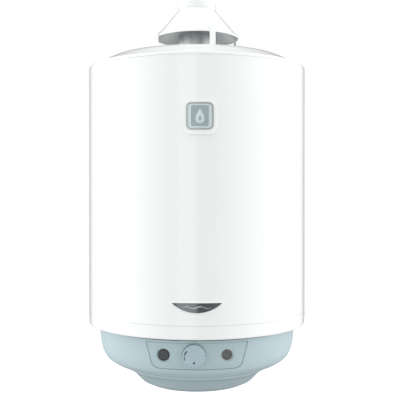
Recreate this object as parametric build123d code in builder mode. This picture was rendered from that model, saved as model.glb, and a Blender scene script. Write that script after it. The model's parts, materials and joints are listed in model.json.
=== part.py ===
from build123d import *
import math
import os

# A wall-hung gas storage water heater. Millimetres, +Z up, the front faces -Y and +X is to the
# right. The origin is on the wall plane, at the centre of the wall bracket's two slots.
# Every round part shares one vertical axis, AXIS_DEPTH in front of the wall.

# ---- driving dimensions ----
BODY_R = 247.5  # outside radius of the jacket, lid and ring
AXIS_DEPTH = 262.5  # wall plane to the heater's vertical axis
STEEL = 1.2  # enamelled sheet of the casing
PLASTIC = 2.5  # wall of the moulded lower cover
LID_SEAM = 83.3  # height where the lid meets the jacket
RING_SEAM = -460.5  # height where the jacket meets the bottom ring
SEAM = 0.5  # half of each visible seam
LID_TOP = 118.2  # height of the lid's flat middle
LID_EDGE = 87.4  # top of the lid's straight skirt
RING_BOTTOM = -486.0  # foot of the bottom ring's straight wall
RING_LIP_R = 214.0  # inner edge of the ring's turned-in lip

COVER_R = 222.8  # outside radius of the lower cover at its rim
COVER_TOP = -495.0
COVER_BOTTOM = -627.5
COVER_MOUTH_R = 100.0  # round air opening in the cover's underside
PANEL_TOP, PANEL_BOTTOM = -500.0, -555.5
PANEL_TOP_HALF, PANEL_BOTTOM_HALF = 105.0, 91.0
PANEL_CORNER = 18.0
PANEL_SINK = 0.9  # the panel lies this far below the cover's surface
PANEL_GAP = 0.7  # joint line round the panel

CONTROL_Z = -524.8  # height of the knob, button and sight port
KNOB_X, BUTTON_X, SIGHT_X = -6.0, -68.0, 61.5
KNOB_R, KNOB_FACE_Y, KNOB_SKIRT_Y = 23.5, -492.0, -475.0
SPINDLE_R, RUNNING = 5.0, 0.05  # valve spindle and its radial clearance
KNOB_HUB_Y = -466.0  # rear end of the knob's hub
PUSH = 5.0  # travel of the knob and of the igniter button

COLLAR_R, COLLAR_TOP, COLLAR_FOOT = 44.0, 243.0, 231.5  # flue collar of the draught hood
NECK_R, NECK_Z = 42.2, 229.0  # top of the hood's cone, where it meets the collar
HOOD_R, HOOD_RIM = 95.5, 163.0
HOOD_SHEET = 1.0
LEG_ANGLES = (21.0, 111.0, 201.0, 291.0)  # measured from the front towards +X
LEG_WIDTH, LEG_SHEET = 14.0, 1.3
OUTLET_R, OUTLET_TOP = 43.7, 170.0  # flue outlet above the lid

TANK_R, TANK_WALL = 215.0, 2.2
TANK_TOP, TANK_FOOT = 76.0, -476.0  # ends of the tank's shell, whose foot is the fire chamber
TOP_DOME, BOTTOM_DOME = 101.0, -391.0  # crowns of the two domed ends
FLUE_R, FLUE_WALL = 47.0, 3.0
TRAY_R, TRAY_TOP, TRAY_BOTTOM = 120.0, -478.0, -548.0
BURNER_R = 68.0

PIPE_X = 50.0  # water pipes either side of the middle
PIPE_BACK = 223.0  # water pipes behind the axis, in the insulation
NIPPLE_R, GAS_NIPPLE_R = 10.48, 8.33  # outside of G 1/2 and G 3/8 threads
NIPPLE_END, GAS_END = -530.0, -545.0
THREAD = 16.0  # length of each threaded end

BADGE_X, BADGE_Z = 5.8, -40.2
PLATE_Z = -414.7  # straight upper edge of the name plate
PLATE_WIDTH, PLATE_DROP = 100.0, 19.0

SLOT_X, SLOT_R, SLOT_LENGTH = 96.0, 5.5, 28.0  # wall bracket slots
BRACKET_HALF, BRACKET_HEIGHT, BRACKET_SHEET = 130.0, 60.0, 2.5
BOLT_Z = 18.0  # bracket bolts above and below the slots

AXIS_Y = -AXIS_DEPTH
HEATER_AXIS = Axis((0, AXIS_Y, 0), (0, 0, 1))
SECTION = Plane.XZ.offset(AXIS_DEPTH)  # local x is the radius and local y the height
JACKET_INNER = BODY_R - STEEL

COVER_OUTLINE = [  # radius and height of the cover's outer surface, rim to mouth
    (COVER_R, COVER_TOP),
    (COVER_R, -518.0),
    (217.0, -548.0),
    (207.0, -564.5),
    (190.0, -575.7),
    (162.5, -586.6),
    (160.0, -590.5),
    (150.0, -596.3),
    (127.5, -619.5),
    (110.0, COVER_BOTTOM),
    (COVER_MOUTH_R, COVER_BOTTOM),
]
COVER_ROUNDS = [60.0, 60.0, 25.0, 60.0, 2.0, 3.6, 22.0, 14.0, 12.0]

os.makedirs("parts", exist_ok=True)


# ---- helpers ----
def save(piece, name):
    """Label a finished piece and write its STEP file."""
    piece.part.label = name
    export_step(piece.part, f"parts/{name}.step")


def facing(x, y, z):
    """A plane that faces the front, with its local axes along +X and +Z."""
    return Plane(origin=(x, y, z), x_dir=(1, 0, 0), z_dir=(0, -1, 0))


def level(z, x=0.0, back=0.0):
    """A horizontal plane at height z, centred x to the right of and back behind the axis."""
    return Plane(origin=(x, AXIS_Y + back, z))


def around(angle, radius=0.0, z=0.0):
    """The upright plane through the axis at an angle from the front, local x pointing outwards."""
    turn = math.radians(angle)
    out = Vector(math.sin(turn), -math.cos(turn), 0)
    origin = Vector(0, AXIS_Y, z) + out * radius
    return Plane(origin=origin, x_dir=out, z_dir=out.cross(Vector(0, 0, 1)))


def outward(angle, radius, z):
    """A plane that faces away from the axis, at an angle from the front."""
    spot = around(angle, radius, z)
    return Plane(origin=spot.origin, x_dir=(0, 0, 1), z_dir=spot.x_dir)


def revolve_sheet(points, rounds, wall, side):
    """Revolve a bent sheet about the heater's axis, inside a part block."""
    with BuildSketch(SECTION) as section:
        with BuildLine():
            FilletPolyline(*points, radius=rounds)
            offset(amount=wall, side=side)
        make_face()
    revolve(section.sketch, axis=HEATER_AXIS)


def revolve_ring(inner, outer, low, high, mode=Mode.ADD):
    """Revolve a rectangular section about the heater's axis, inside a part block."""
    with BuildSketch(SECTION) as section:
        with Locations(((inner + outer) / 2, (low + high) / 2)):
            Rectangle(outer - inner, high - low)
    revolve(section.sketch, axis=HEATER_AXIS, mode=mode)


def disc(plane, radius, length, bore=0.0, mode=Mode.ADD):
    """A round bar or tube that stands on a plane, inside a part block."""
    with BuildSketch(plane) as section:
        Circle(radius)
        if bore:
            Circle(bore, mode=Mode.SUBTRACT)
    extrude(section.sketch, amount=length, mode=mode)


def joggle(far_end, wall_end, overlap_end):
    """The skirt that plugs a lid or ring into the jacket, inside a part block."""
    inner = JACKET_INNER - STEEL - 0.1
    revolve_ring(inner, JACKET_INNER - 0.1, min(far_end, wall_end), max(far_end, wall_end))
    low, high = sorted((wall_end, overlap_end))
    revolve_ring(inner, JACKET_INNER + STEEL / 2, low, high)


def block(plane, width, height, length, corner=0.0, mode=Mode.ADD):
    """A rectangular bar with rounded edges that stands on a plane, inside a part block."""
    with BuildSketch(plane) as section:
        if corner:
            RectangleRounded(width, height, corner)
        else:
            Rectangle(width, height)
    extrude(section.sketch, amount=length, mode=mode)


def sweep_tube(route, bends, radius, bore=0.0):
    """A round tube along straight runs joined by tangent arcs, inside a part block."""
    with BuildLine() as path:
        FilletPolyline(*route, radius=bends)
    with BuildSketch(Plane(origin=path.line @ 0, z_dir=path.line % 0)) as section:
        Circle(radius)
        if bore:
            Circle(bore, mode=Mode.SUBTRACT)
    sweep(section.sketch, path=path.line)


def panel_outline(margin):
    """The control panel's rounded trapezium, grown by a margin, as a sketch."""
    with BuildSketch() as outline:
        with BuildLine():
            FilletPolyline(
                (-PANEL_TOP_HALF - margin, PANEL_TOP + margin),
                (-PANEL_BOTTOM_HALF - margin, PANEL_BOTTOM - margin),
                (PANEL_BOTTOM_HALF + margin, PANEL_BOTTOM - margin),
                (PANEL_TOP_HALF + margin, PANEL_TOP + margin),
                radius=[1.0, PANEL_CORNER + margin, PANEL_CORNER + margin, 1.0],
                close=True,
            )
        make_face()
    return outline.sketch


def screw(plane, head_r, head_h, shank_r, length):
    """A pan-head screw whose head stands on a plane, inside a part block."""
    disc(plane, head_r, head_h)
    disc(plane, shank_r, -length)


def cone_point(up):
    """Radius and height of a point on the hood's outer cone, a distance up from its rim."""
    rise = NECK_Z - HOOD_RIM - 3.0
    run = HOOD_R - NECK_R
    slant = math.hypot(rise, run)
    return HOOD_R - run * up / slant, HOOD_RIM + 3.0 + rise * up / slant


def rivet_plane(angle):
    """The plane on the hood's cone where a leg is riveted, facing outwards."""
    radius, height = cone_point(5.5)
    spot = around(angle, radius, height)
    lean = math.atan2(HOOD_R - NECK_R, NECK_Z - HOOD_RIM - 3.0)
    outward = spot.x_dir * math.cos(lean) + Vector(0, 0, 1) * math.sin(lean)
    return Plane(origin=spot.origin, z_dir=outward)


# ---- casing ----
with BuildPart() as outer_jacket:
    revolve_ring(JACKET_INNER, BODY_R, RING_SEAM + SEAM, LID_SEAM - SEAM)
    for bolt_z in (-BOLT_Z, BOLT_Z):
        disc(facing(0, 0, bolt_z), 6.0, AXIS_DEPTH, mode=Mode.SUBTRACT)
save(outer_jacket, "outer_jacket")

LID_OUTLINE = [  # skirt, shoulder, shallow step, dome and flat middle
    (BODY_R, LID_SEAM + SEAM),
    (BODY_R, LID_EDGE + 3.3),
    (233.0, 94.3),
    (211.0, 106.1),
    (186.5, LID_TOP),
    (OUTLET_R + 0.8, LID_TOP),
]
LEG_FOOT_R = HOOD_R + 9.5  # radius of the screws through the legs' feet
with BuildPart() as top_cover:
    revolve_sheet(LID_OUTLINE, [5.0, 14.0, 30.0, 95.0], STEEL, Side.LEFT)
    joggle(LID_SEAM - 12, LID_SEAM + SEAM, LID_SEAM + 3)
    for angle in LEG_ANGLES:
        foot = around(angle, LEG_FOOT_R, LID_TOP - 5).origin
        disc(Plane(origin=foot), 2.3, 10, mode=Mode.SUBTRACT)
save(top_cover, "top_cover")

RING_OUTLINE = [  # straight wall, corner and turned-in lip
    (BODY_R, RING_SEAM - SEAM),
    (BODY_R, RING_BOTTOM - 2.4),
    (COVER_R + 1.0, RING_BOTTOM - 7.6),
    (RING_LIP_R, RING_BOTTOM - 7.6),
]
with BuildPart() as bottom_ring:
    revolve_sheet(RING_OUTLINE, [4.0, 12.0], STEEL, Side.RIGHT)
    joggle(RING_SEAM + 12, RING_SEAM - SEAM, RING_SEAM - 3)
    for pipe_x in (-PIPE_X, PIPE_X):
        disc(level(RING_BOTTOM - 12, pipe_x, PIPE_BACK), NIPPLE_R + 0.6, 12, mode=Mode.SUBTRACT)
save(bottom_ring, "bottom_ring")

# ---- lower cover and its panel ----
REAR_CUT = 150.0  # the cover is cut away behind this distance from the axis, for the pipes
with BuildSketch(SECTION) as cover_section:
    with BuildLine():
        FilletPolyline(*COVER_OUTLINE, radius=COVER_ROUNDS)
        offset(amount=PLASTIC, side=Side.RIGHT)
    make_face()
with BuildSketch(SECTION) as panel_section:  # the same wall, sunk below the cover's surface
    with BuildLine():
        FilletPolyline(*COVER_OUTLINE[:5], radius=COVER_ROUNDS[:3])
        offset(amount=PANEL_SINK, side=Side.RIGHT, closed=False)
        offset(amount=PLASTIC, side=Side.RIGHT)
    make_face()
with BuildSketch(SECTION) as flange_section:  # a thin wall just behind the cover's own
    with BuildLine():
        FilletPolyline(*COVER_OUTLINE[:5], radius=COVER_ROUNDS[:3])
        offset(amount=PLASTIC + 0.2, side=Side.RIGHT, closed=False)
        offset(amount=1.6, side=Side.RIGHT)
    make_face()

COVER_FRONT = facing(0, AXIS_Y - 120, 0)  # sketches here are cast forwards through the cover
COVER_REACH = 130.0
TAB_ANGLES = (-145.0, -105.0, 105.0, 145.0)
TAB_SCREW_Z = COVER_TOP - 10.0

with BuildPart() as control_cover:
    revolve(cover_section.sketch, axis=HEATER_AXIS)
    extrude(COVER_FRONT * panel_outline(PANEL_GAP), amount=COVER_REACH, mode=Mode.SUBTRACT)
    block(level(COVER_BOTTOM - 5, 0, REAR_CUT + 60), 150, 120, 200, mode=Mode.SUBTRACT)
    for angle in TAB_ANGLES:
        disc(outward(angle, COVER_R - 6, TAB_SCREW_Z), 2.2, 12, mode=Mode.SUBTRACT)
save(control_cover, "control_cover")

SIGHT_R, BUTTON_HOLE_R, BOSS_R = 12.3, 12.3, 15.5
BOSS_BACK_Y = -462.0  # the panel's bosses end here, behind its curved wall
INDEX_X = -37.0
panel_bosses = [(BUTTON_X, BUTTON_HOLE_R + 0.2), (SIGHT_X, SIGHT_R + 0.2)]
with BuildPart() as front_panel:
    revolve(panel_section.sketch, axis=HEATER_AXIS)
    for boss_x, _ in panel_bosses:
        disc(facing(boss_x, BOSS_BACK_Y, CONTROL_Z), BOSS_R, 8)
    extrude(COVER_FRONT * panel_outline(0), amount=COVER_REACH, mode=Mode.INTERSECT)
    with BuildPart(mode=Mode.PRIVATE) as panel_flange:
        revolve(flange_section.sketch, axis=HEATER_AXIS)
        extrude(COVER_FRONT * panel_outline(6), amount=COVER_REACH, mode=Mode.INTERSECT)
    add(panel_flange.part)
    for hole_x, hole_r in panel_bosses:
        disc(facing(hole_x, AXIS_Y - 150, CONTROL_Z), hole_r, 100, mode=Mode.SUBTRACT)
    disc(facing(KNOB_X, AXIS_Y - 150, CONTROL_Z), KNOB_R + 0.8, 100, mode=Mode.SUBTRACT)
    disc(facing(INDEX_X, AXIS_Y - 214.5, CONTROL_Z + 0.5), 1.3, 2.0)
save(front_panel, "front_panel")

TAB_R = COVER_R - PLASTIC - 0.3  # outer face of the steel tabs inside the cover's rim
with BuildPart() as cover_tabs:
    for angle in TAB_ANGLES:
        with BuildSketch(around(angle)) as tab_section:
            with BuildLine():
                FilletPolyline(
                    (TAB_R, TAB_SCREW_Z - 8),
                    (TAB_R, RING_BOTTOM - 7.7),
                    (TAB_R - 12, RING_BOTTOM - 7.7),
                    radius=2.5,
                )
                offset(amount=1.5, side=Side.LEFT)
            make_face()
        extrude(tab_section.sketch, amount=8, both=True)
        disc(outward(angle, TAB_R - 6, TAB_SCREW_Z), 2.05, 12, mode=Mode.SUBTRACT)
save(cover_tabs, "cover_tabs")

with BuildPart() as cover_screws:
    for angle in TAB_ANGLES:
        screw(outward(angle, COVER_R + 0.1, TAB_SCREW_Z), 4.0, 2.2, 2.0, 9.0)
save(cover_screws, "cover_screws")

# ---- draught hood and flue ----
HOOD_OUTLINE = [
    (COLLAR_R, COLLAR_TOP),
    (COLLAR_R, COLLAR_FOOT),
    (NECK_R, NECK_Z),
    (HOOD_R, HOOD_RIM + 3.0),
    (HOOD_R, HOOD_RIM),
]
RIVET_R = 2.0
with BuildPart() as draught_hood:
    revolve_sheet(HOOD_OUTLINE, [1.5, 0.5, 2.0], HOOD_SHEET, Side.RIGHT)
    for angle in LEG_ANGLES:
        disc(rivet_plane(angle).offset(-4), RIVET_R, 8, mode=Mode.SUBTRACT)
save(draught_hood, "draught_hood")

tab_r, tab_z = cone_point(11.0)
LEG_OUTLINE = [  # inner face of a leg: tab on the cone, upright, foot on the lid
    (tab_r + 0.15, tab_z + 0.15),
    (HOOD_R + 0.25, HOOD_RIM + 3.0),
    (HOOD_R + 0.25, LID_TOP + 0.05),
    (HOOD_R + 16.0, LID_TOP + 0.05),
]
with BuildPart() as hood_legs:
    for angle in LEG_ANGLES:
        with BuildSketch(around(angle)) as leg_section:
            with BuildLine():
                FilletPolyline(*LEG_OUTLINE, radius=[1.0, 1.5])
                offset(amount=LEG_SHEET, side=Side.LEFT)
            make_face()
        extrude(leg_section.sketch, amount=LEG_WIDTH / 2, both=True)
        disc(rivet_plane(angle).offset(-4), RIVET_R, 8, mode=Mode.SUBTRACT)
        foot = around(angle, LEG_FOOT_R, LID_TOP - 2).origin
        disc(Plane(origin=foot), 2.3, 8, mode=Mode.SUBTRACT)
save(hood_legs, "hood_legs")

with BuildPart() as hood_rivets:
    for angle in LEG_ANGLES:
        screw(rivet_plane(angle).offset(LEG_SHEET + 0.25), 3.2, 1.2, RIVET_R - 0.05, 4.0)
save(hood_rivets, "hood_rivets")

with BuildPart() as leg_screws:
    for angle in LEG_ANGLES:
        spot = around(angle, LEG_FOOT_R, LID_TOP + LEG_SHEET + 0.1).origin
        screw(Plane(origin=spot), 4.0, 2.4, 2.1, 10.0)
save(leg_screws, "leg_screws")

FLUE_TOP = TOP_DOME + 1.5
with BuildPart() as flue_outlet:
    revolve_ring(OUTLET_R - HOOD_SHEET, OUTLET_R, FLUE_TOP - 14, OUTLET_TOP)
    revolve_ring(OUTLET_R - HOOD_SHEET, OUTLET_R + 5, FLUE_TOP + 0.1, FLUE_TOP + 1.3)
save(flue_outlet, "flue_outlet")

with BuildPart() as flue_seal:
    revolve_ring(OUTLET_R + 0.1, OUTLET_R + 6, LID_TOP + 0.05, LID_TOP + 1.4)
save(flue_seal, "flue_seal")

with BuildPart() as flue_tube:
    revolve_ring(FLUE_R - FLUE_WALL, FLUE_R, BOTTOM_DOME - 4, FLUE_TOP)
save(flue_tube, "flue_tube")

BAFFLE_TOP, BAFFLE_FOOT, BAFFLE_STEPS, BAFFLE_SWING = 84.0, -372.0, 10, 12.0
baffle_rise = (BAFFLE_TOP - BAFFLE_FOOT) / BAFFLE_STEPS
baffle_line = [
    (AXIS_Y + BAFFLE_SWING * (1 if step % 2 else -1), BAFFLE_FOOT + baffle_rise * step)
    for step in range(BAFFLE_STEPS + 1)
]
with BuildPart() as flue_baffle:
    with BuildSketch(Plane.YZ):
        with BuildLine():
            FilletPolyline(*baffle_line, radius=6.0)
            offset(amount=1.2, side=Side.LEFT)
        make_face()
    extrude(amount=30, both=True)
save(flue_baffle, "flue_baffle")

# ---- tank and insulation ----
DOME_R = TANK_R - TANK_WALL


def dome_outline(crown):
    """The outer surface of a domed tank end, from its flange to the flue."""
    return [
        (DOME_R, crown - 52),
        (DOME_R, crown - 29),
        (130.0, crown - 4),
        (FLUE_R + 0.4, crown),
    ]


HOT_PORT_Z, COLD_PORT_Z, PROBE_Z = 30.0, -355.0, -350.0
ANODE_X = 112.0
BOSS_BACK = AXIS_Y + JACKET_INNER - 0.8  # threaded bosses that the wall bracket's bolts enter
with BuildPart() as tank_shell:
    for bolt_z in (-BOLT_Z, BOLT_Z):
        disc(facing(0, BOSS_BACK, bolt_z), 9.0, BOSS_BACK - AXIS_Y - TANK_R + 1.0)
        disc(facing(0, BOSS_BACK, bolt_z), 5.0, 29, mode=Mode.SUBTRACT)
    revolve_ring(DOME_R, TANK_R, TANK_FOOT, TANK_TOP)
    for port_x, port_z in ((PIPE_X, COLD_PORT_Z), (-PIPE_X, HOT_PORT_Z)):
        disc(facing(port_x, AXIS_Y + 240, port_z), 9.6, 60, mode=Mode.SUBTRACT)
    disc(facing(KNOB_X, AXIS_Y - 200, PROBE_Z), 6.1, 30, mode=Mode.SUBTRACT)
save(tank_shell, "tank_shell")

with BuildPart() as tank_top_dome:
    revolve_sheet(dome_outline(TOP_DOME), [24.0, 150.0], TANK_WALL, Side.LEFT)
    disc(level(TOP_DOME - 30, ANODE_X), 12.1, 60, mode=Mode.SUBTRACT)
save(tank_top_dome, "tank_top_dome")

with BuildPart() as tank_bottom_dome:
    revolve_sheet(dome_outline(BOTTOM_DOME), [24.0, 150.0], TANK_WALL, Side.LEFT)
save(tank_bottom_dome, "tank_bottom_dome")

FOAM_IN, FOAM_OUT = TANK_R + 0.3, JACKET_INNER - STEEL - 0.6
FOAM_FOOT, FOAM_TOP = -458.0, 68.0
with BuildPart() as side_insulation:
    revolve_ring(FOAM_IN, FOAM_OUT, FOAM_FOOT, FOAM_TOP)
    for port_x, port_z in ((PIPE_X, COLD_PORT_Z), (-PIPE_X, HOT_PORT_Z)):
        channel = port_z + 14 - FOAM_FOOT
        block(level(FOAM_FOOT, port_x, FOAM_OUT - 5), 24, 80, channel, mode=Mode.SUBTRACT)
    probe_channel = PROBE_Z + 12 - FOAM_FOOT
    block(level(FOAM_FOOT, KNOB_X, -FOAM_OUT), 20, 66, probe_channel, mode=Mode.SUBTRACT)
    for bolt_z in (-BOLT_Z, BOLT_Z):
        disc(facing(0, 0, bolt_z), 10.0, 60, mode=Mode.SUBTRACT)
save(side_insulation, "side_insulation")

with BuildPart() as top_insulation:
    with BuildSketch(SECTION):
        with BuildLine():
            FilletPolyline(
                (OUTLET_R + 16, TOP_DOME + 3),
                (130.0, TOP_DOME - 2),
                (218.0, TOP_DOME - 25),
                (236.0, TOP_DOME - 25),
                (236.0, LID_EDGE + 1),
                (207.0, 103.0),
                (186.0, 114.0),
                (OUTLET_R + 16, LID_TOP - 4),
                radius=[0, 100, 0, 2, 2, 20, 50, 0],
                close=True,
            )
        make_face()
    revolve(axis=HEATER_AXIS)
    disc(level(TOP_DOME - 30, ANODE_X), 20, 60, mode=Mode.SUBTRACT)
    for angle in LEG_ANGLES:
        spot = around(angle, LEG_FOOT_R, TOP_DOME).origin
        disc(Plane(origin=spot), 3, 20, mode=Mode.SUBTRACT)
save(top_insulation, "top_insulation")

with BuildPart() as anode_rod:
    disc(level(-180, ANODE_X), 10, TOP_DOME - 30 + 180)
    disc(level(TOP_DOME - 30, ANODE_X), 12.0, 33)
    with BuildSketch(level(TOP_DOME + 1, ANODE_X)):
        RegularPolygon(15, 6)
    extrude(amount=8)
save(anode_rod, "anode_rod")

with BuildPart() as thermostat_sheath:
    disc(facing(KNOB_X, AXIS_Y - 64, PROBE_Z), 6.0, 152.5)
    disc(facing(KNOB_X, AXIS_Y - TANK_R - 0.4, PROBE_Z), 9.0, 5.0)
    disc(facing(KNOB_X, AXIS_Y - 70, PROBE_Z), 4.3, 200, mode=Mode.SUBTRACT)
save(thermostat_sheath, "thermostat_sheath")

# ---- fire chamber and burner ----
TRAY_SCREW_R = TRAY_R + 9.0
TRAY_SCREWS = 6
WINDOW_LEFT, WINDOW_RIGHT, WINDOW_LOW, WINDOW_HIGH = 5.0, 72.0, -541.0, -499.0
with BuildPart() as chamber_floor:
    revolve_ring(TRAY_R - 20, DOME_R - 0.5, TRAY_TOP + 0.1, TRAY_TOP + 1.3)
    with BuildSketch(level(TRAY_TOP)) as hole_ring:
        with PolarLocations(TRAY_SCREW_R, TRAY_SCREWS):
            Circle(2.1)
    extrude(hole_ring.sketch, amount=4, mode=Mode.SUBTRACT)
save(chamber_floor, "chamber_floor")

TRAY_OUTLINE = [
    (TRAY_R + 16, TRAY_TOP),
    (TRAY_R, TRAY_TOP),
    (TRAY_R, TRAY_BOTTOM),
    (30.0, TRAY_BOTTOM),
]
with BuildPart() as burner_tray:
    revolve_sheet(TRAY_OUTLINE, [3.0, 6.0], 1.0, Side.LEFT)
    with BuildSketch(facing((WINDOW_LEFT + WINDOW_RIGHT) / 2, AXIS_Y - 60,
                            (WINDOW_LOW + WINDOW_HIGH) / 2)) as window:
        RectangleRounded(WINDOW_RIGHT - WINDOW_LEFT, WINDOW_HIGH - WINDOW_LOW, 5)
    extrude(window.sketch, amount=80, mode=Mode.SUBTRACT)
    with BuildSketch(level(TRAY_BOTTOM - 2)) as vents:
        with PolarLocations(75, 12):
            SlotOverall(40, 8)
    extrude(vents.sketch, amount=6, mode=Mode.SUBTRACT)
    with BuildSketch(level(TRAY_TOP - 3)) as tray_holes:
        with PolarLocations(TRAY_SCREW_R, TRAY_SCREWS):
            Circle(2.1)
    extrude(tray_holes.sketch, amount=6, mode=Mode.SUBTRACT)
save(burner_tray, "burner_tray")

with BuildPart() as tray_screws:
    for turn in range(TRAY_SCREWS):
        spot = around(90 + turn * 360 / TRAY_SCREWS, TRAY_SCREW_R, TRAY_TOP - 1.1).origin
        screw(Plane(origin=spot, z_dir=(0, 0, -1)), 4.0, 2.4, 2.0, 7.0)
save(tray_screws, "tray_screws")

BURNER_TOP, BURNER_DEEP, THROAT_R, THROAT_END = -500.0, 16.0, 17.0, -546.0
BURNER_PORTS = 36
with BuildPart() as main_burner:
    revolve_ring(0, BURNER_R, BURNER_TOP - BURNER_DEEP, BURNER_TOP)
    disc(level(BURNER_TOP), 30, 5)
    revolve_ring(0, THROAT_R, THROAT_END, BURNER_TOP - BURNER_DEEP)
    disc(level(THROAT_END), THROAT_R - 2, 34, mode=Mode.SUBTRACT)
    revolve_ring(THROAT_R - 2, BURNER_R - 2.5, BURNER_TOP - 13, BURNER_TOP - 2.5, Mode.SUBTRACT)
    with BuildSketch(level(BURNER_TOP - 6)) as ports:
        with PolarLocations(50, BURNER_PORTS):
            SlotOverall(22, 2.4)
    extrude(ports.sketch, amount=12, mode=Mode.SUBTRACT)
save(main_burner, "main_burner")

with BuildPart() as burner_brackets:
    for angle in (90.0, 210.0, 330.0):
        with BuildSketch(around(angle)) as arm_section:
            with BuildLine():
                FilletPolyline(
                    (BURNER_R - 14, BURNER_TOP - BURNER_DEEP - 1.6),
                    (TRAY_R - 12, BURNER_TOP - BURNER_DEEP - 1.6),
                    (TRAY_R - 12, TRAY_BOTTOM + 1.6),
                    (TRAY_R - 30, TRAY_BOTTOM + 1.6),
                    radius=2.5,
                )
                offset(amount=1.5, side=Side.LEFT)
            make_face()
        extrude(arm_section.sketch, amount=7, both=True)
save(burner_brackets, "burner_brackets")

# ---- gas valve and its pipes ----
VALVE_FRONT, VALVE_BACK = AXIS_Y - 188.0, AXIS_Y - 130.0
VALVE_LEFT, VALVE_RIGHT, VALVE_LOW, VALVE_HIGH = -48.0, 36.0, -556.0, -498.0
BOSS_FRONT = VALVE_FRONT - 8.0
VALVE_MID = ((VALVE_LEFT + VALVE_RIGHT) / 2, (VALVE_LOW + VALVE_HIGH) / 2)
MAIN_OUT_Y, MAIN_RUN_Z, MAIN_R = AXIS_Y - 149.5, -578.0, 5.0
GAS_IN_Z, GAS_IN_Y, GAS_PIPE_R = -512.0, AXIS_Y - 158.0, 6.0
with BuildPart() as gas_valve:
    with BuildSketch(facing(VALVE_MID[0], VALVE_BACK, VALVE_MID[1])):
        Rectangle(VALVE_RIGHT - VALVE_LEFT, VALVE_HIGH - VALVE_LOW)
    extrude(amount=VALVE_BACK - VALVE_FRONT)
    chamfer(edges().filter_by(Axis.Y), length=8)
    fillet(faces().sort_by(Axis.Y)[0].edges(), radius=3)
    disc(facing(KNOB_X, VALVE_FRONT, CONTROL_Z), 15, VALVE_FRONT - BOSS_FRONT)
    disc(Plane(origin=(VALVE_RIGHT, GAS_IN_Y, GAS_IN_Z), z_dir=(1, 0, 0)), 11, 12)
    disc(Plane(origin=(0, MAIN_OUT_Y, VALVE_LOW), z_dir=(0, 0, -1)), 9, 6)
    for cap_x, cap_z in ((-33.0, -514.0), (-33.0, -541.0), (22.0, -541.0)):
        disc(facing(cap_x, VALVE_FRONT, cap_z), 6.5, 4)
    disc(facing(KNOB_X, BOSS_FRONT + 20, CONTROL_Z), SPINDLE_R + RUNNING, 30, mode=Mode.SUBTRACT)
save(gas_valve, "gas_valve")

with BuildPart() as main_gas_pipe:
    route = [
        (0, MAIN_OUT_Y, VALVE_LOW - 6),
        (0, MAIN_OUT_Y, MAIN_RUN_Z),
        (0, AXIS_Y, MAIN_RUN_Z),
        (0, AXIS_Y, MAIN_RUN_Z + 14),
    ]
    sweep_tube(route, [9, 9], MAIN_R, MAIN_R - 1)
save(main_gas_pipe, "main_gas_pipe")

with BuildPart() as gas_injector:
    with BuildSketch(level(MAIN_RUN_Z + 14)):
        RegularPolygon(9, 6)
    extrude(amount=10)
    with BuildSketch(level(MAIN_RUN_Z + 24)):
        Circle(5)
    extrude(amount=6, taper=20)
    disc(level(MAIN_RUN_Z), 0.7, 60, mode=Mode.SUBTRACT)
save(gas_injector, "gas_injector")

with BuildPart() as gas_inlet_pipe:
    route = [
        (VALVE_RIGHT + 13.4, GAS_IN_Y, GAS_IN_Z),
        (140, AXIS_Y - 140, GAS_IN_Z),
        (178, AXIS_Y, GAS_IN_Z),
        (120, AXIS_Y + 150, GAS_IN_Z),
        (0, AXIS_Y + 196, GAS_IN_Z),
        (0, AXIS_Y + 196, GAS_END + THREAD),
    ]
    sweep_tube(route, [70, 70, 60, 12], GAS_PIPE_R, GAS_PIPE_R - 1.2)
save(gas_inlet_pipe, "gas_inlet_pipe")


def threaded_end(plane, radius, across, bore):
    """A hexagon and a threaded end that point down from a plane, inside a part block."""
    with BuildSketch(plane) as hexagon:
        RegularPolygon(across / 2, 6, major_radius=False)
    extrude(hexagon.sketch, amount=7)
    disc(plane, radius, -THREAD)
    disc(plane.offset(-THREAD), bore, THREAD + 7, mode=Mode.SUBTRACT)


with BuildPart() as gas_nipple:
    threaded_end(level(GAS_END + THREAD, 0, 196), GAS_NIPPLE_R, 20, GAS_PIPE_R)
save(gas_nipple, "gas_nipple")

# ---- water pipes ----
PIPE_R, PIPE_BORE = 9.5, 7.5
for name, pipe_x, port_z in (
    ("cold_inlet_pipe", PIPE_X, COLD_PORT_Z),
    ("hot_outlet_pipe", -PIPE_X, HOT_PORT_Z),
):
    with BuildPart() as water_pipe:
        route = [
            (pipe_x, AXIS_Y + 198, port_z),
            (pipe_x, AXIS_Y + PIPE_BACK, port_z),
            (pipe_x, AXIS_Y + PIPE_BACK, NIPPLE_END + THREAD),
        ]
        sweep_tube(route, 14, PIPE_R, PIPE_BORE)
        threaded_end(level(NIPPLE_END + THREAD, pipe_x, PIPE_BACK), NIPPLE_R, 26, PIPE_BORE)
    save(water_pipe, name)

for name, pipe_x in (("cold_marker_ring", PIPE_X), ("hot_marker_ring", -PIPE_X)):
    with BuildPart() as marker_ring:
        disc(level(NIPPLE_END + THREAD + 7.2, pipe_x, PIPE_BACK), 13.5, 5, PIPE_R + 0.1)
    save(marker_ring, name)

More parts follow.
